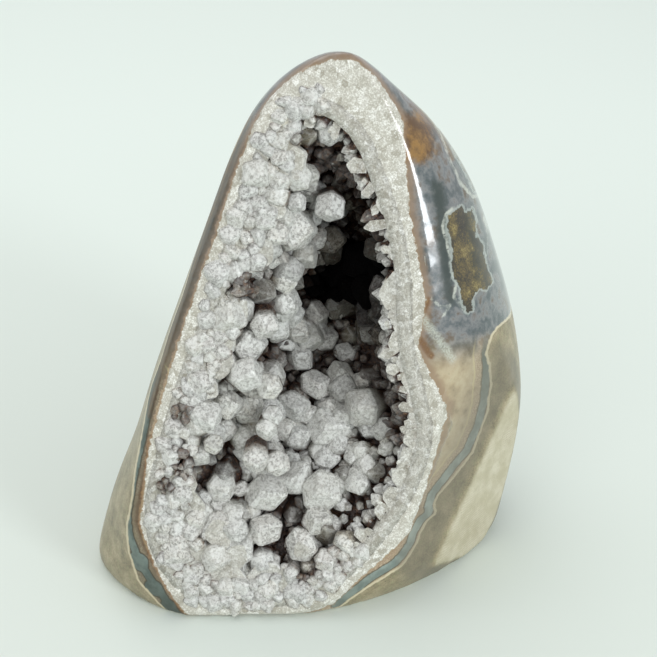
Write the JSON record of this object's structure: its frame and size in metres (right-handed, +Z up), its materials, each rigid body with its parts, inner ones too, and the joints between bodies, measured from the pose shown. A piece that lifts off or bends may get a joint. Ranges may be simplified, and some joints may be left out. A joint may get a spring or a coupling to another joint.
{
  "type": "cut-base geode",
  "caption": "Free-standing cut and polished agate geode with an open cavity lined with quartz points, standing on its own flat sawn base.",
  "frame": {"origin": "middle of the footprint, on the surface it stands on", "axes": "+Z up along the height; +Y from the sawn mouth towards the natural back, through the thickness; +X to the right of someone facing the mouth"},
  "size_m": [0.1118, 0.0688, 0.13],
  "materials": {
    "stone": "polished basalt and agate with a cut quartz rim; natural skin at the back, sawn base",
    "crust_quartz": "small intergrown quartz crystals, iron-stained between them",
    "point_quartz": "frosted, cloudy quartz crystals, nearly colourless with a faint lilac tint"
  },
  "bodies": {
    "root": {"rock_shell": "stone", "druse_crust": "crust_quartz", "quartz_point_01": "point_quartz", "quartz_point_02": "point_quartz", "quartz_point_03": "point_quartz", "quartz_point_04": "point_quartz", "quartz_point_05": "point_quartz", "quartz_point_06": "point_quartz", "quartz_point_07": "point_quartz", "quartz_point_08": "point_quartz", "quartz_point_09": "point_quartz", "quartz_point_10": "point_quartz", "quartz_point_11": "point_quartz", "quartz_point_12": "point_quartz", "quartz_point_13": "point_quartz", "quartz_point_14": "point_quartz", "quartz_point_15": "point_quartz", "quartz_point_16": "point_quartz", "quartz_point_17": "point_quartz", "quartz_point_18": "point_quartz", "quartz_point_19": "point_quartz", "quartz_point_20": "point_quartz", "quartz_point_21": "point_quartz", "quartz_point_22": "point_quartz", "quartz_point_23": "point_quartz", "quartz_point_24": "point_quartz", "quartz_point_25": "point_quartz", "quartz_point_26": "point_quartz", "quartz_point_27": "point_quartz", "quartz_point_28": "point_quartz", "quartz_point_29": "point_quartz", "quartz_point_30": "point_quartz", "quartz_point_31": "point_quartz", "quartz_point_32": "point_quartz", "quartz_point_33": "point_quartz", "quartz_point_34": "point_quartz", "quartz_point_35": "point_quartz", "quartz_point_36": "point_quartz", "quartz_point_37": "point_quartz", "quartz_point_38": "point_quartz", "quartz_point_39": "point_quartz", "quartz_point_40": "point_quartz", "quartz_point_41": "point_quartz", "quartz_point_42": "point_quartz", "quartz_point_43": "point_quartz", "quartz_point_44": "point_quartz", "quartz_point_45": "point_quartz", "quartz_point_46": "point_quartz", "quartz_point_47": "point_quartz", "quartz_point_48": "point_quartz", "quartz_point_49": "point_quartz", "quartz_point_50": "point_quartz", "quartz_point_51": "point_quartz", "quartz_point_52": "point_quartz", "quartz_point_53": "point_quartz", "quartz_point_54": "point_quartz"}
  },
  "joints": []
}
